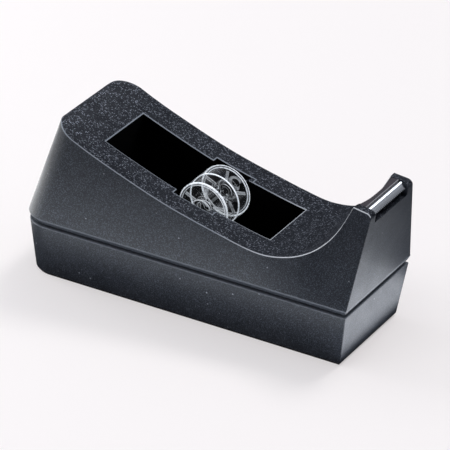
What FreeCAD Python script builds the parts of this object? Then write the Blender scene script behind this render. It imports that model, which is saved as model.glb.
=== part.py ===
import FreeCAD, Part
import math
import os
from FreeCAD import Vector as V

# Desktop tape dispenser with a weighted base.
# Millimetres, +Z up, +X towards the cutting edge, symmetric about the XZ plane.
# The outline is drawn about the middle of the rim and moved by X_SHIFT at the
# end, so that the origin is the middle of the whole object's footprint.
os.makedirs("parts", exist_ok=True)

# ------------------------------------------------------------ driving dimensions
# upper housing, outside
RIM_L = 168.0          # length of the widest line of the housing
RIM_HW = 29.4          # half width there
RIM_Z = 30.1           # height of that line
SKIRT_Z = 27.7         # bottom edge of the housing
SKIRT_IN = 1.05        # how far the bevel below the rim goes in
REAR_R = 13.4          # plan radius of the two rear corners
REAR_LEAN = 0.364      # dx/dz of the rear wall, leaning forward
FRONT_LEAN = 0.1213    # dx/dz of the front face, leaning forward
NOSE_HW = 18.5         # half width of the nose at its top
NOSE_Z = 74.6          # height of the nose
BEND_X = 31.5          # from here forward the side walls draw in to the nose
LOFT_Z = 86.0          # top of the rough block before the scoop is cut
WALL = 2.6
EDGE_R = 0.5           # rounding of the housing's visible edges
REAR_EDGE_R = 2.5      # rounding along the top of the rear wall

# centre line of the scooped top, rear to front
SCOOP = [(-66.0, 80.6), (-58.5, 77.0), (-47.25, 71.7), (-31.5, 65.4), (-15.0, 59.35),
         (-3.0, 55.55), (8.0, 52.65), (18.0, 50.25), (27.0, 48.15), (34.0, 46.7), (39.5, 45.85),
         (44.5, 45.7), (50.0, 46.35), (55.5, 47.7), (60.0, 49.5), (64.5, 52.1), (70.2, 57.1),
         (74.5, 62.9), (77.5, 68.8), (80.15, 75.0)]

# plan line of the crest behind the cutting edge, hollowed between the ears
CREST = [(-18.6, 79.2), (-16.6, 79.95), (-14.6, 80.6), (-11.5, 81.45), (-8.5, 82.05), (-5.0, 82.35),
         (0.0, 82.45), (5.0, 82.35), (8.5, 82.05), (11.5, 81.45), (14.6, 80.6), (16.6, 79.95),
         (18.6, 79.2)]
CREST_LEAN = 0.62      # dx/dz of the hollow's back

# tape well
WELL_X0, WELL_X1 = -45.2, 38.4
WELL_HW = 15.6
WELL_Z = 11.0
WELL_R = 20.0
WELL_WALL = 2.2

# hub
HUB_X, HUB_Z = 1.2, 47.7
DRUM_R = 12.5          # takes a core of 25.4 mm
DRUM_RI = 11.0
DRUM_HL = 10.0         # half length
AXLE_R = 3.5
AXLE_RI = 2.2
AXLE_HL = 18.4
RUN_GAP = 0.05         # radial running clearance
GUIDE_Y = 18.7         # depth of the axle guides from the middle
GUIDE_X0, GUIDE_X1 = -8.6, 11.0

# nose
EAR_Y = 14.6           # inner faces of the two ears
SLOT_Z = 68.1          # lower lip of the slot under the cutting edge
EAR_R = 2.5

# base
BASE_Z = 26.5
BASE_TOP_IN = 0.4
BASE_SIDE_IN, BASE_FRONT_IN, BASE_REAR_IN = 3.8, 4.2, 1.6
BASE_WALL = 2.4
PAD_T = 1.15
PLATE_T = 2.5
TONGUE_IN, TONGUE_T, TONGUE_Z = 2.5, 1.9, 32.0

# fasteners
BOSS_R = 3.6
BOSSES = [(-68.0, -18.5), (-68.0, 18.5), (69.0, -18.5), (69.0, 18.5)]
SCREW_R = 1.45
SCREW_HEAD_R = 2.9
SCREW_LEN = 13.0
BALLAST_SCREWS = [(-58.5, 0.0), (60.0, 0.0)]

# origin: middle of the footprint's length
FRONT_X = RIM_L / 2 + FRONT_LEAN * (NOSE_Z - 2.9 - RIM_Z)
X_SHIFT = -(FRONT_X - RIM_L / 2) / 2


# ------------------------------------------------------------ helpers
def line(a, b):
    return Part.LineSegment(a, b).toShape()


def arc(cx, cy, r, a0, a1, z):
    p = [V(cx + r * math.cos(math.radians(a)), cy + r * math.sin(math.radians(a)), z)
         for a in (a0, (a0 + a1) / 2.0, a1)]
    return Part.Arc(p[0], p[1], p[2]).toShape()


def side_curve(xa, xb, ya, yb, z, sign):
    """Plan line of a side wall that starts straight, draws in, and runs straight again at the ears."""
    n = 14
    pts = []
    for i in range(n + 1):
        t = i / float(n)
        s = min(t / 0.86, 1.0)
        pts.append(V(xa + (xb - xa) * t, sign * (ya + (yb - ya) * s * s * (3 - 2 * s)), z))
    c = Part.BSplineCurve()
    c.interpolate(pts)
    return c.toShape()


def ring(z, rear, front, hw, rc, bend, hw_front=None):
    """Closed plan outline, eight edges, anticlockwise from the rear's middle."""
    hf = hw if hw_front is None else hw_front
    e = []
    e.append(line(V(rear, hw - rc, z), V(rear, -(hw - rc), z)))
    e.append(arc(rear + rc, -(hw - rc), rc, 180, 270, z))
    e.append(line(V(rear + rc, -hw, z), V(bend, -hw, z)))
    if hw_front is None:
        e.append(line(V(bend, -hw, z), V(front, -hf, z)))
    else:
        e.append(side_curve(bend, front, hw, hf, z, -1))
    e.append(line(V(front, -hf, z), V(front, hf, z)))
    if hw_front is None:
        e.append(line(V(front, hf, z), V(bend, hw, z)))
    else:
        s = side_curve(bend, front, hw, hf, z, 1)
        c = s.Curve.copy()
        c.reverse()
        e.append(c.toShape())
    e.append(line(V(bend, hw, z), V(rear + rc, hw, z)))
    e.append(arc(rear + rc, hw - rc, rc, 90, 180, z))
    return e


def skin(rings):
    """Solid through stacked outlines, joined by straight rulings edge by edge."""
    faces = []
    for lo, hi in zip(rings[:-1], rings[1:]):
        for a, b in zip(lo, hi):
            faces.append(Part.makeRuledSurface(a, b))
    faces.append(Part.Face(Part.Wire(rings[0])))
    faces.append(Part.Face(Part.Wire(rings[-1])))
    sh = Part.Shell(faces)
    sh.sewShape()
    s = Part.Solid(sh)
    if s.Volume < 0:
        s.reverse()
    s.fix(1e-4, 1e-4, 1e-4)
    return s


def upper_block(inset, z1):
    """The housing's rough block, drawn in by inset all round."""
    h = RIM_Z
    top = z1
    x0 = -RIM_L / 2 + inset
    x1 = RIM_L / 2 - inset
    hw = RIM_HW - inset
    rc = max(REAR_R - inset, 1.0)
    rings = [ring(h, x0, x1, hw, rc, BEND_X)]
    k = top - RIM_Z
    narrow = (RIM_HW - NOSE_HW) / (NOSE_Z - RIM_Z)
    rings.append(ring(top, x0 + REAR_LEAN * k, x1 + FRONT_LEAN * k, hw, rc, BEND_X,
                      hw_front=hw - narrow * k))
    return skin(rings)


def rim_bevel():
    """Bevel under the rim, steeper as it comes up to the rim."""
    rings = []
    for z, d in ((SKIRT_Z, SKIRT_IN), (RIM_Z - 0.85, 0.23), (RIM_Z - 0.35, 0.05), (RIM_Z, 0.0)):
        rings.append(ring(z, -RIM_L / 2 + d, RIM_L / 2 - d, RIM_HW - d, REAR_R - d, BEND_X))
    return skin(rings)


def scoop_points(off):
    """The top line moved by off along its normal, into the material."""
    c = Part.BSplineCurve()
    c.interpolate([V(x, 0, z) for x, z in SCOOP])
    if off == 0:
        return c
    u0, u1 = c.FirstParameter, c.LastParameter
    out = []
    n = 40
    for i in range(n + 1):
        u = u0 + (u1 - u0) * i / float(n)
        p = c.value(u)
        t = c.tangent(u)[0]
        nrm = V(t.z, 0, -t.x)
        out.append(p + nrm * off)
    d = Part.BSplineCurve()
    d.interpolate(out)
    return d


def above_scoop(off, nose_top):
    """Everything above the top line, as a cutter."""
    c = scoop_points(off)
    a = c.value(c.FirstParameter)
    b = c.value(c.LastParameter)
    top = 120.0
    e = [c.toShape()]
    if off == 0:
        # start the line with an arc that turns down into the rear wall
        r = REAR_EDGE_R
        wl = math.hypot(1.0, REAR_LEAN)
        lo, hi = c.FirstParameter, c.parameter(V(-55.0, 0, 75.3))
        for _ in range(40):
            u = (lo + hi) / 2.0
            p = c.value(u)
            t = c.tangent(u)[0]
            cen = p + V(t.z, 0, -t.x) * r
            wall_x = -RIM_L / 2 + REAR_LEAN * (cen.z - RIM_Z)
            if (cen.x - wall_x) / wl > r - 0.08:
                hi = u
            else:
                lo = u
        a0 = math.atan2(p.z - cen.z, p.x - cen.x)
        a1 = math.pi - math.atan(REAR_LEAN)
        am = (a0 + a1) / 2.0
        pm = cen + V(math.cos(am), 0, math.sin(am)) * r
        a = cen + V(math.cos(a1), 0, math.sin(a1)) * r
        k = c.copy()
        k.segment(u, c.LastParameter)
        e = [Part.Arc(a, pm, p).toShape(), k.toShape()]
        print("rear arc starts", a, "wall there", -RIM_L / 2 + REAR_LEAN * (a.z - RIM_Z))
    if nose_top is not None:
        e.append(line(b, V(96.0, 0, nose_top)))
        last = V(96.0, 0, nose_top)
    else:
        e.append(line(b, V(b.x + 0.3, 0, top)))
        last = V(b.x + 0.3, 0, top)
    if nose_top is not None:
        e.append(line(last, V(last.x, 0, top)))
        last = V(last.x, 0, top)
    drop = 4.0 if off != 0 else -3.0
    e.append(line(last, V(-110.0, 0, top)))
    e.append(line(V(-110.0, 0, top), V(-110.0, 0, a.z + drop)))
    e.append(line(V(-110.0, 0, a.z + drop), a))
    f = Part.Face(Part.Wire(e))
    f.translate(V(0, -70, 0))
    return f.extrude(V(0, 140, 0))


def box(x0, x1, y0, y1, z0, z1):
    return Part.makeBox(x1 - x0, y1 - y0, z1 - z0, V(x0, y0, z0))


def prism_xz(pts, y0, y1):
    w = Part.makePolygon([V(x, y0, z) for x, z in pts] + [V(pts[0][0], y0, pts[0][1])])
    return Part.Face(w).extrude(V(0, y1 - y0, 0))


def cyl_y(x, z, r, y0, y1):
    return Part.makeCylinder(r, y1 - y0, V(x, y0, z), V(0, 1, 0))


def cyl_z(x, y, r, z0, z1):
    return Part.makeCylinder(r, z1 - z0, V(x, y, z0), V(0, 0, 1))


def fillet_where(shape, r, test, label):
    """Round the edges that pass the test; keep the shape if that fails."""
    edges = [e for e in shape.Edges if test(e)]
    if not edges:
        print("no edges for", label)
        return shape
    try:
        s = shape.makeFillet(r, edges)
        if s.isValid() and s.Volume > 0.5 * shape.Volume:
            return s
        print("rounding not valid:", label)
    except Exception as ex:
        print("rounding failed:", label, ex)
    done = shape
    for k in range(len(edges)):
        cand = [e for e in done.Edges if test(e)]
        if k >= len(cand):
            break
        try:
            s = done.makeFillet(r, [cand[k]])
            if s.isValid():
                done = s
        except Exception:
            pass
    return done


def mid(e):
    return e.valueAt((e.FirstParameter + e.LastParameter) / 2.0)


def one(shape):
    """The largest solid of a result."""
    s = sorted(shape.Solids, key=lambda q: q.Volume)
    return s[-1]


parts = {}

# ------------------------------------------------------------ upper housing
block = upper_block(0.0, LOFT_Z)
print("block", block.isValid(), round(block.Volume))
outer = one(block.cut(above_scoop(0.0, 72.9)))

# rounded edges: the front top corner of the nose, then every other visible edge at once


def box_of(e):
    return e.optimalBoundingBox()


def front_top(e):
    b = box_of(e)
    return b.ZMin > 72.0 and b.YLength > 30 and mid(e).x > 86


def visible(e):
    b = box_of(e)
    m = mid(e)
    side = abs(m.y) > 15
    rear = b.ZMin > 74.5 and m.x < -50 and not (b.XLength < 0.1 and m.x > -65.5)
    long_edge = b.XLength > 50 and b.ZMin > 40 and side
    ear = 3 < b.XLength < 12 and b.ZMin > 73 and m.x > 80 and side
    ear_corner = 1 < b.XLength < 4 and 1 < b.ZLength < 4 and b.ZMin > 69 and m.x > 86 and side
    crest = b.ZMin > 74 and b.YLength > 30 and 78 < m.x < 82
    front = b.ZLength > 35 and m.x > 80
    return rear or long_edge or ear or ear_corner or crest or front


outer = one(fillet_where(outer, EAR_R, front_top, "front top of the nose"))
outer = one(fillet_where(outer, EDGE_R, visible, "visible edges of the housing"))
outer = outer.fuse(rim_bevel())
print("outer", outer.isValid(), round(outer.Volume), len(outer.Solids))

# hollow inside
inner = upper_block(WALL, LOFT_Z)
inner = one(inner.cut(above_scoop(WALL, None)))
inner = inner.cut(box(74.5, 100, -40, 40, 61.0, 120))
lip = Part.Face(Part.Wire(ring(SKIRT_Z - 1.0, -RIM_L / 2 + 2.4, RIM_L / 2 - 2.4, RIM_HW - 2.4,
                               REAR_R - 2.4, BEND_X))).extrude(V(0, 0, TONGUE_Z - SKIRT_Z + 1.0))
cavity = inner.fuse(lip)
shell = outer.cut(cavity)

below = outer.fuse(Part.Face(Part.Wire(ring(0.0, -RIM_L / 2 + 6, RIM_L / 2 - 8, RIM_HW - 7,
                                            8.0, BEND_X))).extrude(V(0, 0, SKIRT_Z + 3)))
ww = WELL_WALL
well_out = box(WELL_X0 - ww, WELL_X1 + ww, -WELL_HW - ww, WELL_HW + ww, WELL_Z - ww, 90)
well_out = well_out.makeFillet(WELL_R + ww, [e for e in well_out.Edges
                                             if e.BoundBox.YLength > 20 and mid(e).z < WELL_Z])
guide_out = box(GUIDE_X0 - 2.2, GUIDE_X1 + 2.2, -GUIDE_Y - 2.0, GUIDE_Y + 2.0, 38.0, 90)
posts = None
for bx, by in BOSSES:
    c = cyl_z(bx, by, BOSS_R, PAD_T + PLATE_T + 0.05, 80)
    posts = c if posts is None else posts.fuse(c)
inside = well_out.fuse(guide_out).fuse(posts).common(below)
shell = shell.fuse(inside)

well_in = box(WELL_X0, WELL_X1, -WELL_HW, WELL_HW, WELL_Z, 95)
well_in = well_in.makeFillet(WELL_R, [e for e in well_in.Edges
                                      if e.BoundBox.YLength > 20 and mid(e).z < WELL_Z + 1])
shell = shell.cut(well_in)

# guides for the axle's ends: a funnel, then a slot, then a half-round seat
sr = AXLE_R + RUN_GAP
for s in (-1, 1):
    y0, y1 = sorted((s * (WELL_HW - 1.0), s * GUIDE_Y))
    funnel = prism_xz([(GUIDE_X0, 53.0), (GUIDE_X0, 90.0), (GUIDE_X1, 90.0), (GUIDE_X1, 53.0),
                       (HUB_X + sr, 49.4), (HUB_X + sr, HUB_Z), (HUB_X - sr, HUB_Z),
                       (HUB_X - sr, 49.4)], y0, y1)
    seat = cyl_y(HUB_X, HUB_Z, sr, y0, y1)
    shell = shell.cut(funnel.fuse(seat))

# pocket for the blade carrier, open at the front above the lip
pocket = prism_xz([(79.6, SLOT_Z), (81.5, 80.0), (100.0, 80.0), (100.0, SLOT_Z)], -EAR_Y, EAR_Y)
socket = box(79.6, 85.2, -12.0, 12.0, 63.6, SLOT_Z + 0.1)
shell = shell.cut(pocket.fuse(socket))

# the crest is hollowed in plan between the ears; the carrier gets the same cut
CREST_Z0 = 61.0
dx = -CREST_LEAN * (75.0 - CREST_Z0)
cc = Part.BSplineCurve()
cc.interpolate([V(x + dx, y, CREST_Z0) for y, x in CREST])
ya, yb = CREST[0][0], CREST[-1][0]
xa, xb = CREST[0][1] + dx, CREST[-1][1] + dx
hollow = Part.Face(Part.Wire([cc.toShape(), line(V(xb, yb, CREST_Z0), V(55.0, yb, CREST_Z0)),
                              line(V(55.0, yb, CREST_Z0), V(55.0, ya, CREST_Z0)),
                              line(V(55.0, ya, CREST_Z0), V(xa, ya, CREST_Z0))]))
hollow = hollow.extrude(V(CREST_LEAN * 20.0, 0, 20.0))
shell = shell.cut(hollow)
print("hollowed", shell.isValid(), round(shell.Volume))

# pilot holes for the screws
for bx, by in BOSSES:
    shell = shell.cut(cyl_z(bx, by, SCREW_R + 0.02, 0, 4 + SCREW_LEN))

shell = one(shell)


def on_opening(e):
    b = e.BoundBox
    m = mid(e)
    if m.z < 40 or m.x > 60 or m.x < -60 or abs(m.y) > GUIDE_Y + 0.1:
        return False
    # long edges and end edges of the opening that lie on the top surface
    c = scoop_z(m.x)
    return abs(m.z - c) < 0.25


_sc = scoop_points(0)


def scoop_z(x):
    u0, u1 = _sc.FirstParameter, _sc.LastParameter
    for _ in range(50):
        u = (u0 + u1) / 2
        if _sc.value(u).x < x:
            u0 = u
        else:
            u1 = u
    return _sc.value((u0 + u1) / 2).z


shell = fillet_where(shell, 0.45, on_opening, "edge of the well")
print("upper_housing", shell.isValid(), round(shell.Volume), len(shell.Solids))
parts["upper_housing"] = shell

# ------------------------------------------------------------ base
def base_ring(z, inset):
    """Outline of the base at height z, drawn in by inset."""
    t = (BASE_Z - z) / BASE_Z
    side = BASE_TOP_IN + (BASE_SIDE_IN - BASE_TOP_IN) * t + inset
    front = BASE_TOP_IN + (BASE_FRONT_IN - BASE_TOP_IN) * t + inset
    rear = BASE_TOP_IN + (BASE_REAR_IN - BASE_TOP_IN) * t + inset
    rc = max(REAR_R - 0.4 - 0.8 * t - inset, 2.0)
    return ring(z, -RIM_L / 2 + rear, RIM_L / 2 - front, RIM_HW - side, rc, BEND_X)


def flat_prism(z0, z1, rear_in, front_in, side_in, rc):
    w = Part.Wire(ring(z0, -RIM_L / 2 + rear_in, RIM_L / 2 - front_in, RIM_HW - side_in, rc, BEND_X))
    return Part.Face(w).extrude(V(0, 0, z1 - z0))


base_out = skin([base_ring(PAD_T, 0.0), base_ring(BASE_Z, 0.0)])


def base_edges(e):
    b = e.BoundBox
    m = mid(e)
    top = b.ZMin > BASE_Z - 0.1
    front = b.ZLength > 20 and m.x > 70
    return top or front


base_out = fillet_where(base_out, 0.45, base_edges, "base top edge and front corners")


def base_bottom(e):
    return e.BoundBox.ZMax < PAD_T + 0.1


base_out = fillet_where(base_out, 0.35, base_bottom, "base bottom edge")
base_in = skin([base_ring(PAD_T - 1.0, BASE_WALL), base_ring(BASE_Z - 2.4, BASE_WALL)])
tongue = flat_prism(BASE_Z - 2.4, TONGUE_Z, TONGUE_IN, TONGUE_IN, TONGUE_IN, REAR_R - TONGUE_IN)
tin = TONGUE_IN + TONGUE_T
tongue_in = flat_prism(BASE_Z - 3.0, TONGUE_Z + 1, tin, tin, tin, REAR_R - tin)
plate_w = (BASE_REAR_IN + 1.3, BASE_FRONT_IN + 1.3, BASE_SIDE_IN + 1.3, REAR_R - 3.0)
rebate = flat_prism(-1.0, PAD_T + PLATE_T + 0.05, *plate_w)
base = base_out.cut(base_in).fuse(tongue).cut(tongue_in).cut(rebate)
base = one(base)
print("base_housing", base.isValid(), round(base.Volume), len(base.Solids))
parts["base_housing"] = base

plate = flat_prism(PAD_T, PAD_T + PLATE_T, plate_w[0] + 0.1, plate_w[1] + 0.1, plate_w[2] + 0.1,
                   plate_w[3] - 0.1)
for bx, by in BOSSES + BALLAST_SCREWS:
    plate = plate.cut(cyl_z(bx, by, SCREW_R + 0.2, 0, 10))
    plate = plate.cut(cyl_z(bx, by, SCREW_HEAD_R + 0.15, 0, PAD_T + 1.6))
parts["bottom_plate"] = one(plate)

pad = flat_prism(0.0, PAD_T, BASE_REAR_IN + 0.9, BASE_FRONT_IN + 0.9, BASE_SIDE_IN + 0.9, REAR_R - 2.2)
parts["non_slip_pad"] = pad

# ------------------------------------------------------------ ballast blocks
bz0, bz1 = PAD_T + PLATE_T + 0.05, 23.5


def ballast(x0, x1, hw, rc, name, hole):
    e = []
    if rc > 3:
        e = [arc(x0 + rc, -(hw - rc), rc, 180, 270, bz0), line(V(x0 + rc, -hw, bz0), V(x1, -hw, bz0)),
             line(V(x1, -hw, bz0), V(x1, hw, bz0)), line(V(x1, hw, bz0), V(x0 + rc, hw, bz0)),
             arc(x0 + rc, hw - rc, rc, 90, 180, bz0), line(V(x0, hw - rc, bz0), V(x0, -(hw - rc), bz0))]
        s = Part.Face(Part.Wire(e)).extrude(V(0, 0, bz1 - bz0))
    else:
        s = box(x0, x1, -hw, hw, bz0, bz1)
    s = s.makeChamfer(1.2, [q for q in s.Edges if q.BoundBox.ZMin > bz1 - 0.1])
    for bx, by in BOSSES:
        c = cyl_z(bx, by, BOSS_R + 0.5, 0, 40)
        wide = box(bx - BOSS_R - 0.5, bx + BOSS_R + 0.5, min(by, math.copysign(40, by)),
                   max(by, math.copysign(40, by)), 0, 40)
        s = s.cut(c.fuse(wide))
    s = s.cut(cyl_z(hole[0], hole[1], SCREW_R + 0.02, 0, 4 + SCREW_LEN))
    parts[name] = one(s)


ballast(-79.2, WELL_X0 - ww - 0.6, 22.4, 8.0, "ballast_rear", BALLAST_SCREWS[0])
ballast(WELL_X1 + ww + 0.6, 76.8, 22.4, 0.0, "ballast_front", BALLAST_SCREWS[1])


# ------------------------------------------------------------ screws
def screw(x, y, z0, length):
    h = cyl_z(x, y, SCREW_HEAD_R, z0, z0 + 1.5)
    h = h.makeFillet(0.5, [e for e in h.Edges if e.BoundBox.ZMax < z0 + 0.1])
    s = cyl_z(x, y, SCREW_R, z0 + 1.4, z0 + length - 1.2)
    tip = Part.makeCone(SCREW_R, 0.5, 1.3, V(x, y, z0 + length - 1.3), V(0, 0, 1))
    b = h.fuse(s).fuse(tip)
    for a in (0, 90):
        c = Part.makeBox(3.4, 0.7, 0.9, V(-1.7, -0.35, 0))
        c.rotate(V(0, 0, 0), V(0, 0, 1), a)
        c.translate(V(x, y, z0 - 0.1))
        b = b.cut(c)
    return one(b)


parts["housing_screws"] = Part.Compound([screw(x, y, PAD_T + 0.08, SCREW_LEN) for x, y in BOSSES])
parts["ballast_screws"] = Part.Compound([screw(x, y, PAD_T + 0.08, SCREW_LEN - 2)
                                         for x, y in BALLAST_SCREWS])

# ------------------------------------------------------------ blade and its carrier
ey = EAR_Y - 0.05
# profile of the carrier: landing strip on top, groove, slope under the blade
car = [(79.68, SLOT_Z + 0.05), (80.68, 74.3), (80.73, 74.65), (84.0, 74.5), (84.45, 74.3),
       (84.62, 73.9), (84.62, 70.6), (85.17, 70.6), (85.17, 73.35), (85.5, 73.3), (86.4, 72.4),
       (86.9, 71.6), (85.6, 71.2), (85.0, SLOT_Z + 0.05)]
carrier = prism_xz(car, -ey, ey)
stem = box(79.68, 85.0, -11.9, 11.9, 63.7, SLOT_Z + 0.06)
carrier = one(carrier.fuse(stem).cut(hollow))


def crest_edge(e):
    b = e.optimalBoundingBox()
    return b.YLength > 20 and b.ZMin > 74.2 and mid(e).x < 83.0


carrier = one(fillet_where(carrier, 0.35, crest_edge, "crest of the landing strip"))
parts["blade_carrier"] = carrier

# stainless strip: a tang down in the carrier, a top flange and a toothed front flange
t = 0.45
outer_pts = [(84.67, 70.7), (84.67, 73.62), (85.15, 74.02), (85.65, 74.0), (86.25, 73.72),
             (87.2, 72.72), (88.2, 71.5)]
inner_pts = [(87.85, 71.22), (86.88, 72.4), (85.98, 73.34), (85.55, 73.54), (85.2, 73.52),
             (85.12, 73.4), (85.12, 70.7)]
by_ = EAR_Y - 0.35
blade = prism_xz(outer_pts + inner_pts, -by_, by_)
pitch, depth = 1.3, 0.75
n = int(2 * by_ / pitch)
teeth = []
ux, uz = (88.2 - 87.2), (71.5 - 72.72)
ln = math.hypot(ux, uz)
ux, uz = ux / ln, uz / ln
for i in range(n + 1):
    yc = -n * pitch / 2.0 + i * pitch
    a = V(88.2 + ux * 0.4, yc - pitch / 2.0 - 0.0, 71.5 + uz * 0.4)
    b = V(88.2 + ux * 0.4, yc + pitch / 2.0 + 0.0, 71.5 + uz * 0.4)
    c = V(88.2 - ux * depth, yc, 71.5 - uz * depth)
    w = Part.makePolygon([a, b, c, a])
    f = Part.Face(w)
    f.translate(V(uz, 0, -ux) * 3.0)
    teeth.append(f.extrude(V(-uz, 0, ux) * 6.0))
for q in teeth:
    blade = blade.cut(q)
parts["cutter_blade"] = one(blade)

# ------------------------------------------------------------ hub
axle = cyl_y(HUB_X, HUB_Z, AXLE_R, -AXLE_HL, AXLE_HL)
axle = axle.makeChamfer(0.5, [e for e in axle.Edges if abs(abs(mid(e).y) - AXLE_HL) < 0.01])
axle = axle.cut(cyl_y(HUB_X, HUB_Z, AXLE_RI, -AXLE_HL - 1, AXLE_HL + 1))
parts["hub_axle"] = one(axle)


def drum(sign, name):
    def yy(a, b):
        return sorted((sign * a, sign * b))
    a, b = yy(0.03, DRUM_HL)
    rim = cyl_y(HUB_X, HUB_Z, DRUM_R, a, b)
    rim = rim.makeFillet(0.5, [e for e in rim.Edges if abs(abs(mid(e).y) - DRUM_HL) < 0.01])
    # shallow vee where the two halves meet
    rim = rim.makeChamfer(0.3, [e for e in rim.Edges if abs(abs(mid(e).y) - 0.03) < 0.01])
    ca, cb = yy(1.4, DRUM_HL + 1)
    rim = rim.cut(cyl_y(HUB_X, HUB_Z, DRUM_RI, ca, cb))
    ba, bb = yy(0.03, DRUM_HL + 2.0)
    boss = cyl_y(HUB_X, HUB_Z, 5.2, ba, bb)
    boss = boss.makeChamfer(0.4, [e for e in boss.Edges if abs(abs(mid(e).y) - DRUM_HL - 2.0) < 0.01])
    d = rim.fuse(boss)
    ra, rb = yy(0.5, DRUM_HL - 1.2)
    for k in range(5):
        ang = 10 + 72 * k
        r = Part.makeBox(7.3, rb - ra, 1.3, V(4.2, ra, -0.65))
        r.rotate(V(0, 0, 0), V(0, 1, 0), -ang)
        r.translate(V(HUB_X, 0, HUB_Z))
        d = d.fuse(r)
    # windows through the web between the ribs
    for k in range(5):
        ang = 46 + 72 * k
        cxw = HUB_X + 8.0 * math.cos(math.radians(ang))
        czw = HUB_Z + 8.0 * math.sin(math.radians(ang))
        wa, wb = yy(-0.5, 2.0)
        d = d.cut(cyl_y(cxw, czw, 2.1, wa, wb))
    ha, hb = yy(-1.0, DRUM_HL + 3)
    d = d.cut(cyl_y(HUB_X, HUB_Z, AXLE_R + RUN_GAP, ha, hb))
    parts[name] = one(d)


drum(-1, "hub_drum_left")
drum(1, "hub_drum_right")

# ------------------------------------------------------------ export
for name, s in parts.items():
    s = s.copy()
    s.translate(V(X_SHIFT, 0, 0))
    print(name, s.isValid(), len(s.Solids), "vol", round(s.Volume / 1000.0, 3), "cm3",
          [round(v, 2) for v in (s.BoundBox.XMin, s.BoundBox.XMax, s.BoundBox.YMin, s.BoundBox.YMax,
                                 s.BoundBox.ZMin, s.BoundBox.ZMax)])
    s.exportStep("parts/%s.step" % name)
print("X_SHIFT", X_SHIFT)
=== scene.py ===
import math

import bmesh
import bpy
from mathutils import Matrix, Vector

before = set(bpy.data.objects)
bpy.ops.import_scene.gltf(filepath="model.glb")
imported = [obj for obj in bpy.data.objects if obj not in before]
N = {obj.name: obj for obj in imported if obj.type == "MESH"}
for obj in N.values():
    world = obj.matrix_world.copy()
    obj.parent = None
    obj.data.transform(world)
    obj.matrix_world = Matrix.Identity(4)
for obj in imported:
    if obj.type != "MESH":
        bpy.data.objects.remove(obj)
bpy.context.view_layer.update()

scene = bpy.context.scene
MM = 0.001
XS = -2.523 * MM          # the part's own shift of its outline along X

# ---------------------------------------------------------------- camera
AZ, EL, ROLL = math.radians(30.57), math.radians(28.75), 0.00898
DIST = 1.5277
LENS = 36.0 * 3456.11 / 450.0
target = Vector((XS, 0.0, 0.042))
back = Vector((math.sin(AZ) * math.cos(EL), -math.cos(AZ) * math.cos(EL), math.sin(EL)))
cam_data = bpy.data.cameras.new("camera")
cam_data.sensor_width = 36.0
cam_data.lens = LENS
cam_data.shift_x = 12.773 / 450.0
cam_data.shift_y = -14.960 / 450.0
cam_data.clip_start = 0.05
cam_data.clip_end = 60.0
cam = bpy.data.objects.new("camera", cam_data)
scene.collection.objects.link(cam)
q = (-back).to_track_quat("-Z", "Y")
cam.rotation_mode = "QUATERNION"
cam.location = target + back * DIST
from mathutils import Quaternion
cam.rotation_quaternion = q @ Quaternion((0.0, 0.0, 1.0), ROLL)
scene.camera = cam


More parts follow.
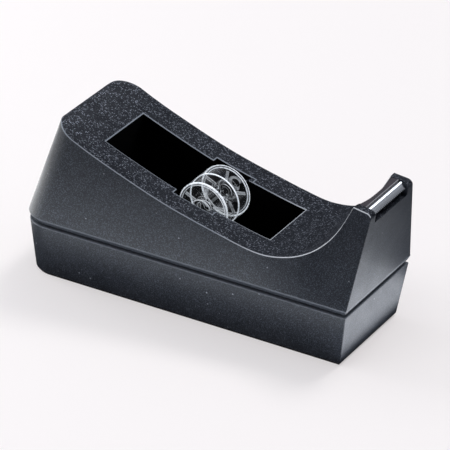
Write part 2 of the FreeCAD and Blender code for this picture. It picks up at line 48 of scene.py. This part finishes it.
# ---------------------------------------------------------------- node helpers
class Mat:
    """A small builder for node materials."""

    def __init__(self, name):
        self.m = bpy.data.materials.new(name)
        self.m.use_nodes = True
        self.t = self.m.node_tree
        self.t.nodes.clear()
        self.out = self.t.nodes.new("ShaderNodeOutputMaterial")
        self.b = self.t.nodes.new("ShaderNodeBsdfPrincipled")
        self.t.links.new(self.b.outputs[0], self.out.inputs[0])
        self.c = self.t.nodes.new("ShaderNodeTexCoord")

    def set(self, **kw):
        for k, v in kw.items():
            s = self.b.inputs[k.replace("_", " ")]
            s.default_value = v
        return self

    def node(self, kind, **props):
        n = self.t.nodes.new(kind)
        for k, v in props.items():
            setattr(n, k, v)
        return n

    def link(self, a, b):
        self.t.links.new(a, b)

    def math(self, op, a, b=None, c=None, clamp=False):
        n = self.node("ShaderNodeMath", operation=op, use_clamp=clamp)
        for i, v in enumerate((a, b, c)):
            if v is None:
                continue
            if isinstance(v, (int, float)):
                n.inputs[i].default_value = v
            else:
                self.link(v, n.inputs[i])
        return n.outputs[0]

    def noise(self, scale, detail=2.0, rough=0.5, vec=None, dist=0.0, dims="3D"):
        n = self.node("ShaderNodeTexNoise", noise_dimensions=dims)
        n.inputs["Scale"].default_value = scale
        n.inputs["Detail"].default_value = detail
        n.inputs["Roughness"].default_value = rough
        n.inputs["Distortion"].default_value = dist
        self.link(vec if vec is not None else self.c.outputs["Object"], n.inputs["Vector"])
        return n.outputs[0]

    def voronoi(self, scale, feature="F1", vec=None, out="Distance", rand=1.0):
        n = self.node("ShaderNodeTexVoronoi", feature=feature)
        n.inputs["Scale"].default_value = scale
        n.inputs["Randomness"].default_value = rand
        self.link(vec if vec is not None else self.c.outputs["Object"], n.inputs["Vector"])
        return n.outputs[out]

    def ramp(self, fac, stops):
        n = self.node("ShaderNodeValToRGB")
        e = n.color_ramp.elements
        while len(e) > 1:
            e.remove(e[-1])
        for i, (p, col) in enumerate(stops):
            k = e[0] if i == 0 else e.new(p)
            k.position = p
            k.color = (*col, 1.0) if len(col) == 3 else col
        self.link(fac, n.inputs[0])
        return n.outputs[0]

    def range(self, v, a0, a1, b0, b1, smooth=False):
        n = self.node("ShaderNodeMapRange", interpolation_type="SMOOTHSTEP" if smooth else "LINEAR")
        n.clamp = True
        self.link(v, n.inputs["Value"])
        for k, x in (("From Min", a0), ("From Max", a1), ("To Min", b0), ("To Max", b1)):
            n.inputs[k].default_value = x
        return n.outputs["Result"]

    def mix(self, fac, a, b, blend="MIX"):
        n = self.node("ShaderNodeMix", data_type="RGBA", blend_type=blend)
        if isinstance(fac, (int, float)):
            n.inputs[0].default_value = fac
        else:
            self.link(fac, n.inputs[0])
        for i, v in ((6, a), (7, b)):
            if isinstance(v, tuple):
                n.inputs[i].default_value = (*v, 1.0) if len(v) == 3 else v
            else:
                self.link(v, n.inputs[i])
        return n.outputs[2]

    def bump(self, height, dist, strength=1.0, normal=None):
        n = self.node("ShaderNodeBump")
        n.inputs["Strength"].default_value = strength
        n.inputs["Distance"].default_value = dist
        self.link(height, n.inputs["Height"])
        if normal is not None:
            self.link(normal, n.inputs["Normal"])
        return n.outputs[0]

    def xyz(self, v):
        n = self.node("ShaderNodeSeparateXYZ")
        self.link(v, n.inputs[0])
        return n.outputs

    def put(self, socket, value):
        self.link(value, self.b.inputs[socket])
        return self


def assign(obj, mat):
    obj.data.materials.clear()
    obj.data.materials.append(mat)


# ---------------------------------------------------------------- materials
BLACK_A, BLACK_B = (0.0060, 0.0080, 0.0125), (0.0095, 0.0120, 0.0180)


def housing_material(name, scoop):
    """Black moulded plastic. Fine spark grain on the walls, coarser glittering grain on the scoop with painted glints;
    painted highlight lines on the scoop's edges, the rim bevel and the base's top edge; painted shade in the well and
    on the base's top.
    """
    k = Mat(name)
    k.set(**{"Specular_IOR_Level": 0.5, "IOR": 1.5})
    nrm = k.xyz(k.c.outputs["Normal"])
    pos = k.xyz(k.c.outputs["Object"])
    g1 = k.noise(2300.0, 1.0, 0.5)
    g2 = k.noise(1100.0, 2.0, 0.6)
    mott = k.noise(70.0, 3.0, 0.55)
    pitc = k.xyz(k.voronoi(520.0, "F1", out="Color"))
    pitd = k.voronoi(520.0, "F1", out="Distance")
    speck = k.math("MULTIPLY", k.range(pitc[0], 0.975, 0.98, 0.0, 1.0), k.range(pitd, 0.12, 0.24, 1.0, 0.0))
    fine = k.math("ADD", k.math("MULTIPLY", g1, 0.55), k.math("MULTIPLY", g2, 0.7))
    wall_col = k.mix(k.range(mott, 0.3, 0.7, 0.0, 1.0), BLACK_A, BLACK_B)
    wall_col = k.mix(k.range(g1, 0.50, 0.68, 0.0, 0.85), wall_col, (0.058, 0.068, 0.087))
    wall_col = k.mix(k.math("MULTIPLY", speck, 0.9), wall_col, (0.30, 0.32, 0.36))
    wall_r = k.range(mott, 0.3, 0.7, 0.38, 0.48)
    ay = k.math("ABSOLUTE", pos[1])
    if scoop:
        ny = k.math("ABSOLUTE", nrm[1])
        up = k.range(nrm[2], 0.22, 0.32, 0.0, 1.0)
        flat = k.range(ny, 0.20, 0.30, 1.0, 0.0)
        high = k.range(pos[2], 0.040, 0.0415, 0.0, 1.0)
        # the leaning rear wall belongs to the walls, not to the scoop
        back_wall = k.math("MULTIPLY", k.range(pos[0], -0.030, -0.020, 1.0, 0.0), k.range(nrm[0], -0.75, -0.55, 1.0, 0.0))
        top = k.math("MULTIPLY", k.math("MULTIPLY", k.math("MULTIPLY", up, flat), high), k.math("SUBTRACT", 1.0, back_wall))
        # rounded long edges: smoother than the faces they join, and lightened in colour as a painted highlight line
        long_edge_highlight = k.math("MULTIPLY", k.math("MULTIPLY", k.range(ny, 0.18, 0.30, 0.0, 1.0), k.range(nrm[2], 0.36, 0.46, 0.0, 1.0)), high)
        # distance outside the outline of the well and of its two axle guides
        d1 = k.math("MAXIMUM", k.math("SUBTRACT", k.math("ABSOLUTE", k.math("ADD", pos[0], 0.005923)), 0.0418),
                    k.math("SUBTRACT", ay, 0.0156))
        d2 = k.math("MAXIMUM", k.math("SUBTRACT", k.math("ABSOLUTE", k.math("ADD", pos[0], 0.001323)), 0.0098),
                    k.math("SUBTRACT", ay, 0.0187))
        dd = k.math("MINIMUM", d1, d2)
        # painted highlight: a thin band of the scoop along the lip of the well and its axle guides is lightened
        lip_highlight = k.math("MULTIPLY", k.math("MULTIPLY", k.range(dd, 0.00005, 0.00015, 0.0, 1.0), k.math("LESS_THAN", dd, 0.00060)),
                     k.math("MULTIPLY", high, k.range(nrm[2], 0.2, 0.4, 0.0, 1.0)))
        edge_highlight = k.math("MAXIMUM", long_edge_highlight, lip_highlight)
        # painted shade: the inside of the well is near black, with no specular and full roughness
        well_painted_shade = k.math("MULTIPLY", k.range(dd, 0.00005, 0.00015, 1.0, 0.0),
                      k.math("MAXIMUM", k.range(nrm[2], 0.5, 0.6, 1.0, 0.0), k.range(pos[2], 0.036, 0.037, 1.0, 0.0)))
        # coarse scoop grain; its glints are painted in as bright metallic flecks (painted glints)
        cells = k.voronoi(1550.0, "F1", out="Distance")
        cellc = k.xyz(k.voronoi(1550.0, "F1", out="Color"))
        fade = k.noise(160.0, 3.0, 0.6)
        spark = k.math("MULTIPLY", k.range(cellc[0], 0.50, 0.92, 0.0, 1.0), k.range(cells, 0.25, 0.55, 1.0, 0.0))
        # painted light: the glints are brighter towards the rear of the scoop and dimmer towards the nose
        rear = k.range(pos[0], -0.072, -0.048, 1.0, 0.0)
        glint_painted_light = k.math("MULTIPLY", 0.62, k.range(pos[0], 0.030, 0.045, 1.0, 0.75))
        glint_painted_light = k.math("ADD", glint_painted_light, k.math("MULTIPLY", rear, 0.35), clamp=True)
        spark = k.math("MULTIPLY", k.math("MULTIPLY", spark, glint_painted_light), k.range(fade, 0.25, 0.75, 0.45, 1.0))
        coarse = k.math("ADD", k.math("MULTIPLY", k.math("SUBTRACT", 1.0, cells), 0.75),
                        k.math("MULTIPLY", k.noise(1500.0, 2.0, 0.6), 0.6))
        n1 = k.node("ShaderNodeBump")
        n1.inputs["Strength"].default_value = 1.0
        k.link(k.mix(top, fine, coarse), n1.inputs["Height"])
        k.link(k.range(top, 0.0, 1.0, 0.00008, 0.00020), n1.inputs["Distance"])
        k.put("Normal", n1.outputs[0])
        col = k.mix(k.range(fade, 0.3, 0.7, 0.0, 1.0), (0.0022, 0.0032, 0.0064), (0.0060, 0.0078, 0.0125))
        col = k.mix(k.math("MULTIPLY", spark, 0.95), col, (0.520, 0.560, 0.650))
        col = k.mix(top, wall_col, col)
        # painted highlight: the bevel band under the rim line is lightened
        skirt_painted_highlight = k.math("MULTIPLY", k.range(pos[2], 0.0300, 0.0304, 1.0, 0.0), k.range(nrm[2], -0.5, -0.3, 0.0, 1.0))
        col = k.mix(k.math("MULTIPLY", skirt_painted_highlight, 0.8), col, (0.090, 0.100, 0.118))
        # painted highlight lines along the long edges and the well's lip, brighter towards the nose
        col = k.mix(edge_highlight, col, k.mix(k.range(pos[0], 0.015, 0.050, 0.0, 1.0), (0.210, 0.235, 0.265), (0.520, 0.540, 0.570)))
        col = k.mix(well_painted_shade, col, (0.0002, 0.0002, 0.0003))
        k.put("Base Color", col)
        # painted highlight: the specular tint is raised towards the rear of the scoop
        gloss_and_rear_highlight = k.math("ADD", 0.20, k.math("MULTIPLY", rear, 0.55))
        gloss_and_rear_highlight = k.math("MULTIPLY", gloss_and_rear_highlight, k.range(fade, 0.25, 0.75, 0.75, 1.25))
        tint = k.mix(k.math("MULTIPLY", top, k.math("SUBTRACT", 1.0, spark)), (1.0, 1.0, 1.0), k.mix(gloss_and_rear_highlight, (0.0, 0.0, 0.0), (1.0, 1.0, 1.0)))
        k.put("Specular Tint", k.mix(well_painted_shade, tint, (0.0, 0.0, 0.0)))
        k.put("Metallic", k.math("MULTIPLY", k.math("MULTIPLY", top, spark), 0.55))
        top_r = k.math("SUBTRACT", k.range(fade, 0.3, 0.7, 0.50, 0.40), k.math("MULTIPLY", spark, 0.15))
        r = k.math("ADD", k.math("MULTIPLY", wall_r, k.math("SUBTRACT", 1.0, top)), k.math("MULTIPLY", top_r, top))
        r = k.math("SUBTRACT", r, k.math("MULTIPLY", edge_highlight, 0.20))
        k.put("Roughness", k.math("MAXIMUM", r, k.math("MULTIPLY", well_painted_shade, 0.95)))
    else:
        k.put("Normal", k.bump(fine, 0.00008))
        # painted shade: the base's top face inside the groove is near black, with no specular
        base_top_painted_shade = k.range(pos[2], 0.0268, 0.0270, 0.0, 1.0)
        # painted highlight: a thin light line along the base's top edge
        topline_painted_highlight = k.math("MULTIPLY", k.range(pos[2], 0.0259, 0.0262, 0.0, 1.0), k.range(pos[2], 0.0266, 0.0267, 1.0, 0.0))
        wall_col = k.mix(k.math("MULTIPLY", topline_painted_highlight, 0.8), wall_col, (0.120, 0.133, 0.152))
        k.put("Base Color", k.mix(base_top_painted_shade, wall_col, (0.0002, 0.0002, 0.0003)))
        k.put("Specular Tint", k.mix(base_top_painted_shade, (1.0, 1.0, 1.0), (0.0, 0.0, 0.0)))
        k.put("Roughness", k.math("MAXIMUM", wall_r, k.math("MULTIPLY", base_top_painted_shade, 0.95)))
    return k.m


def polished_black():
    k = Mat("polished_black")
    sm = k.noise(220.0, 3.0, 0.5)
    k.put("Base Color", k.mix(k.range(sm, 0.35, 0.65, 0.0, 1.0), (0.020, 0.016, 0.020), (0.034, 0.026, 0.031)))
    k.put("Roughness", k.range(sm, 0.3, 0.7, 0.10, 0.20))
    k.put("Normal", k.bump(k.noise(700.0, 2.0, 0.5), 0.00001))
    return k.m


def steel(name, c0, c1, r0, r1, stretch):
    k = Mat(name)
    k.set(Metallic=1.0)
    mp = k.node("ShaderNodeMapping")
    mp.inputs["Scale"].default_value = stretch
    k.link(k.c.outputs["Object"], mp.inputs["Vector"])
    br = k.noise(1000.0, 3.0, 0.6, vec=mp.outputs[0])
    k.put("Base Color", k.mix(k.range(br, 0.3, 0.7, 0.0, 1.0), c0, c1))
    k.put("Roughness", k.range(br, 0.3, 0.7, r0, r1))
    k.put("Normal", k.bump(br, 0.000012))
    return k.m


def clear_plastic():
    """Clear moulding: nearly invisible face on, bright where its surfaces turn away, with painted highlight lines and a
    painted glow along its rims and mouldings.
    """
    k = Mat("clear_plastic")
    k.set(**{"IOR": 1.5, "Specular_IOR_Level": 0.5})
    pos = k.xyz(k.c.outputs["Object"])
    ay = k.math("ABSOLUTE", pos[1])
    rx = k.math("ADD", pos[0], 0.001323)
    rz = k.math("SUBTRACT", pos[2], 0.0477)
    rad = k.math("SQRT", k.math("ADD", k.math("MULTIPLY", rx, rx), k.math("MULTIPLY", rz, rz)))
    # painted highlight lines: masks for the rims, the mid ring, the boss, the ribs and the end faces, shown as white by
    # raising alpha
    out = k.math("MAXIMUM", k.range(rad, 0.01180, 0.01190, 0.25, 1.0), k.math("MULTIPLY", k.range(rad, 0.01125, 0.01135, 1.0, 0.0), 0.7))
    out = k.math("MULTIPLY", out, k.range(rad, 0.0107, 0.0109, 0.0, 1.0))
    rims = k.math("MULTIPLY", k.range(ay, 0.00935, 0.0095, 0.0, 1.0), out)
    mid = k.math("MULTIPLY", k.range(ay, 0.00035, 0.0005, 1.0, 0.0), k.range(rad, 0.0119, 0.0121, 0.0, 1.0))
    boss = k.math("MULTIPLY", k.range(ay, 0.0115, 0.0117, 0.0, 1.0), k.range(rad, 0.0046, 0.0048, 0.0, 1.0))
    ribs = k.math("MULTIPLY", k.math("MULTIPLY", k.range(ay, 0.0084, 0.0085, 0.0, 1.0), k.range(ay, 0.0088, 0.0089, 1.0, 0.0)),
                  k.range(rad, 0.0107, 0.0108, 1.0, 0.0))
    ends = k.math("MULTIPLY", k.range(ay, 0.0178, 0.0180, 0.0, 1.0), 0.5)
    sm = k.noise(900.0, 3.0, 0.6)
    painted_highlight_lines = k.math("MAXIMUM", k.math("MAXIMUM", rims, k.math("MULTIPLY", mid, 0.9)),
                  k.math("MAXIMUM", k.math("MAXIMUM", k.math("MULTIPLY", boss, 0.6), k.math("MULTIPLY", ribs, 0.45)), ends))
    # painted highlight swirls on the webs
    wave = k.noise(150.0, 1.0, 0.5, dist=1.2)
    swirl_highlight = k.math("MULTIPLY", k.range(k.math("ABSOLUTE", k.math("SUBTRACT", wave, 0.5)), 0.006, 0.014, 0.60, 0.0),
                   k.range(rad, 0.0070, 0.0085, 1.0, 0.0))
    web = k.range(k.math("ABSOLUTE", k.xyz(k.c.outputs["Normal"])[1]), 0.6, 0.8, 0.0, 1.0)
    painted_highlight_lines = k.math("MAXIMUM", k.math("MULTIPLY", painted_highlight_lines, k.range(sm, 0.30, 0.50, 0.60, 1.0)), k.math("MULTIPLY", swirl_highlight, web))
    k.put("Base Color", k.mix(k.range(sm, 0.3, 0.7, 0.0, 1.0), (0.86, 0.92, 0.98), (1.0, 1.0, 1.0)))
    k.put("Roughness", k.range(sm, 0.3, 0.7, 0.04, 0.12))
    lw = k.node("ShaderNodeLayerWeight")
    lw.inputs["Blend"].default_value = 0.5
    turn = k.math("POWER", lw.outputs["Facing"], 5.0)
    k.put("Alpha", k.math("MAXIMUM", k.range(turn, 0.0, 1.0, 0.0, 0.40), painted_highlight_lines))
    # painted glow: the highlight lines also emit light, though the part is no lamp
    k.put("Emission Color", k.mix(painted_highlight_lines, (0.0, 0.0, 0.0), (0.86, 0.93, 1.0)))
    k.b.inputs["Emission Strength"].default_value = 0.42
    return k.m


def foam():
    k = Mat("foam_rubber")
    cells = k.voronoi(1600.0)
    k.put("Base Color", k.mix(k.range(cells, 0.1, 0.6, 0.0, 1.0), (0.004, 0.004, 0.005), (0.012, 0.012, 0.013)))
    k.put("Roughness", k.range(cells, 0.0, 0.7, 0.98, 0.85))
    k.put("Normal", k.bump(cells, 0.00015))
    return k.m


def cast_iron():
    k = Mat("cast_iron")
    k.set(Metallic=0.6)
    a = k.noise(300.0, 5.0, 0.65)
    k.put("Base Color", k.mix(k.range(a, 0.3, 0.7, 0.0, 1.0), (0.05, 0.047, 0.045), (0.11, 0.10, 0.095)))
    k.put("Roughness", k.range(a, 0.3, 0.7, 0.6, 0.85))
    k.put("Normal", k.bump(a, 0.0002))
    return k.m


M_HOUSING = housing_material("grained_black_housing", True)
M_BASE = housing_material("grained_black_base", False)
M_POL = polished_black()
M_BLADE = steel("blade_steel", (0.62, 0.63, 0.65), (0.80, 0.81, 0.82), 0.10, 0.22, (0.2, 0.02, 0.2))
M_SCREW = steel("zinc_screw", (0.45, 0.45, 0.44), (0.62, 0.61, 0.58), 0.25, 0.40, (1.0, 1.0, 0.1))
M_CLEAR = clear_plastic()
M_FOAM = foam()
M_IRON = cast_iron()

for n, m in (("upper_housing", M_HOUSING), ("base_housing", M_BASE), ("bottom_plate", M_BASE),
             ("non_slip_pad", M_FOAM), ("ballast_front", M_IRON), ("ballast_rear", M_IRON),
             ("housing_screws", M_SCREW), ("ballast_screws", M_SCREW), ("blade_carrier", M_POL),
             ("cutter_blade", M_BLADE), ("hub_axle", M_CLEAR), ("hub_drum_left", M_CLEAR),
             ("hub_drum_right", M_CLEAR)):
    assign(N[n], m)


# ---------------------------------------------------------------- stage
def floor():
    me = bpy.data.meshes.new("floor")
    s = 3.0
    me.from_pydata([(-s, -s, 0), (s, -s, 0), (s, s, 0), (-s, s, 0)], [], [(0, 1, 2, 3)])
    o = bpy.data.objects.new("floor", me)
    scene.collection.objects.link(o)
    k = Mat("pale_floor")
    k.set(Base_Color=(0.46, 0.445, 0.44, 1.0), Roughness=0.9)
    k.b.inputs["Specular IOR Level"].default_value = 0.0
    k.b.inputs["Emission Color"].default_value = (1.0, 0.955, 0.950, 1.0)
    k.b.inputs["Emission Strength"].default_value = 0.46
    me.materials.append(k.m)
    o.visible_glossy = False
    return o


def backdrop():
    """A pale round wall far behind, so that a low view ends in the same pale tone as the floor."""
    me = bpy.data.meshes.new("backdrop")
    n, r, h = 96, 2.95, 4.0
    vs = [(r * math.cos(2 * math.pi * i / n), r * math.sin(2 * math.pi * i / n), z) for z in (0.0, h) for i in range(n)]
    me.from_pydata(vs, [], [((i + 1) % n, i, n + i, n + (i + 1) % n) for i in range(n)])
    o = bpy.data.objects.new("backdrop", me)
    scene.collection.objects.link(o)
    k = Mat("pale_backdrop")
    k.set(Base_Color=(0.0, 0.0, 0.0, 1.0), Roughness=1.0)
    k.b.inputs["Specular IOR Level"].default_value = 0.0
    k.b.inputs["Emission Color"].default_value = (1.0, 0.975, 0.975, 1.0)
    k.b.inputs["Emission Strength"].default_value = 0.90
    me.materials.append(k.m)
    o.visible_glossy = False
    o.visible_diffuse = False
    o.visible_transmission = False
    o.visible_shadow = False
    return o


floor()
backdrop()

world = bpy.data.worlds.new("studio")
scene.world = world
world.use_nodes = True
wt = world.node_tree
bg = wt.nodes["Background"]
tc = wt.nodes.new("ShaderNodeTexCoord")
sp = wt.nodes.new("ShaderNodeSeparateXYZ")
wt.links.new(tc.outputs["Generated"], sp.inputs[0])
rp = wt.nodes.new("ShaderNodeValToRGB")
rp.color_ramp.interpolation = "EASE"
el = rp.color_ramp.elements
for p, c in ((0.0, 0.03), (0.47, 0.04), (0.56, 0.10), (0.70, 0.32), (0.86, 0.60), (1.0, 0.75)):
    if p == 0.0:
        e = el[0]
    elif p == 1.0:
        e = el[-1]
    else:
        e = el.new(p)
    e.position = p
    e.color = (c * 0.93, c * 0.98, c * 1.10, 1.0)
mr = wt.nodes.new("ShaderNodeMapRange")
mr.inputs["From Min"].default_value = -1.0
mr.inputs["From Max"].default_value = 1.0
wt.links.new(sp.outputs[2], mr.inputs["Value"])
wt.links.new(mr.outputs["Result"], rp.inputs[0])
wt.links.new(rp.outputs[0], bg.inputs[0])
bg.inputs[1].default_value = 1.0


def area(name, loc, at, size, power, color=(1, 1, 1), size_y=None, shadow=True):
    d = bpy.data.lights.new(name, "AREA")
    d.energy = power
    d.color = color
    d.shape = "RECTANGLE" if size_y else "SQUARE"
    d.size = size
    if size_y:
        d.size_y = size_y
    o = bpy.data.objects.new(name, d)
    scene.collection.objects.link(o)
    o.location = loc
    o.rotation_mode = "QUATERNION"
    o.rotation_quaternion = (Vector(at) - Vector(loc)).to_track_quat("-Z", "Y")
    o.visible_camera = False
    return o


# softboxes behind, to the left and above the near side, and low cards that stand for the bright table
behind = area("behind", (0.26, 0.55, 0.62), (-0.03, 0.0, 0.05), 0.42, 1.3, (0.93, 0.97, 1.06), 0.36)
behind.visible_diffuse = False
area("left", (-0.80, -0.05, 0.42), (0.0, 0.0, 0.05), 0.50, 3.0, (1.0, 1.0, 1.0), 0.35)
area("above_near", (-0.10, -0.50, 0.85), (0.0, 0.0, 0.04), 0.55, 1.2, (1.0, 1.0, 1.0), 0.40)
area("card_front", (0.0985, 0.0, 0.002), (0.0985, 0.0, 1.0), 0.035, 0.029, (0.94, 0.98, 1.06), 0.100)
area("card_front_2", (0.141, 0.030, 0.002), (0.141, 0.030, 1.0), 0.050, 0.025, (0.94, 0.98, 1.06), 0.120)
area("card_near", (-0.005, -0.065, 0.002), (-0.005, -0.065, 1.0), 0.34, 0.088, (0.92, 0.98, 1.06), 0.032)
area("card_rear", (-0.185, 0.030, 0.002), (-0.185, 0.030, 1.0), 0.13, 0.20, (0.98, 0.99, 1.0), 0.16)
far_key = area("far_key", (0.55, 1.45, 2.9), (0.0, 0.0, 0.0), 0.9, 42.0, (1.0, 0.975, 0.965), 0.9)
far_key.visible_glossy = False

scene.view_settings.view_transform = "Standard"
scene.view_settings.look = "None"
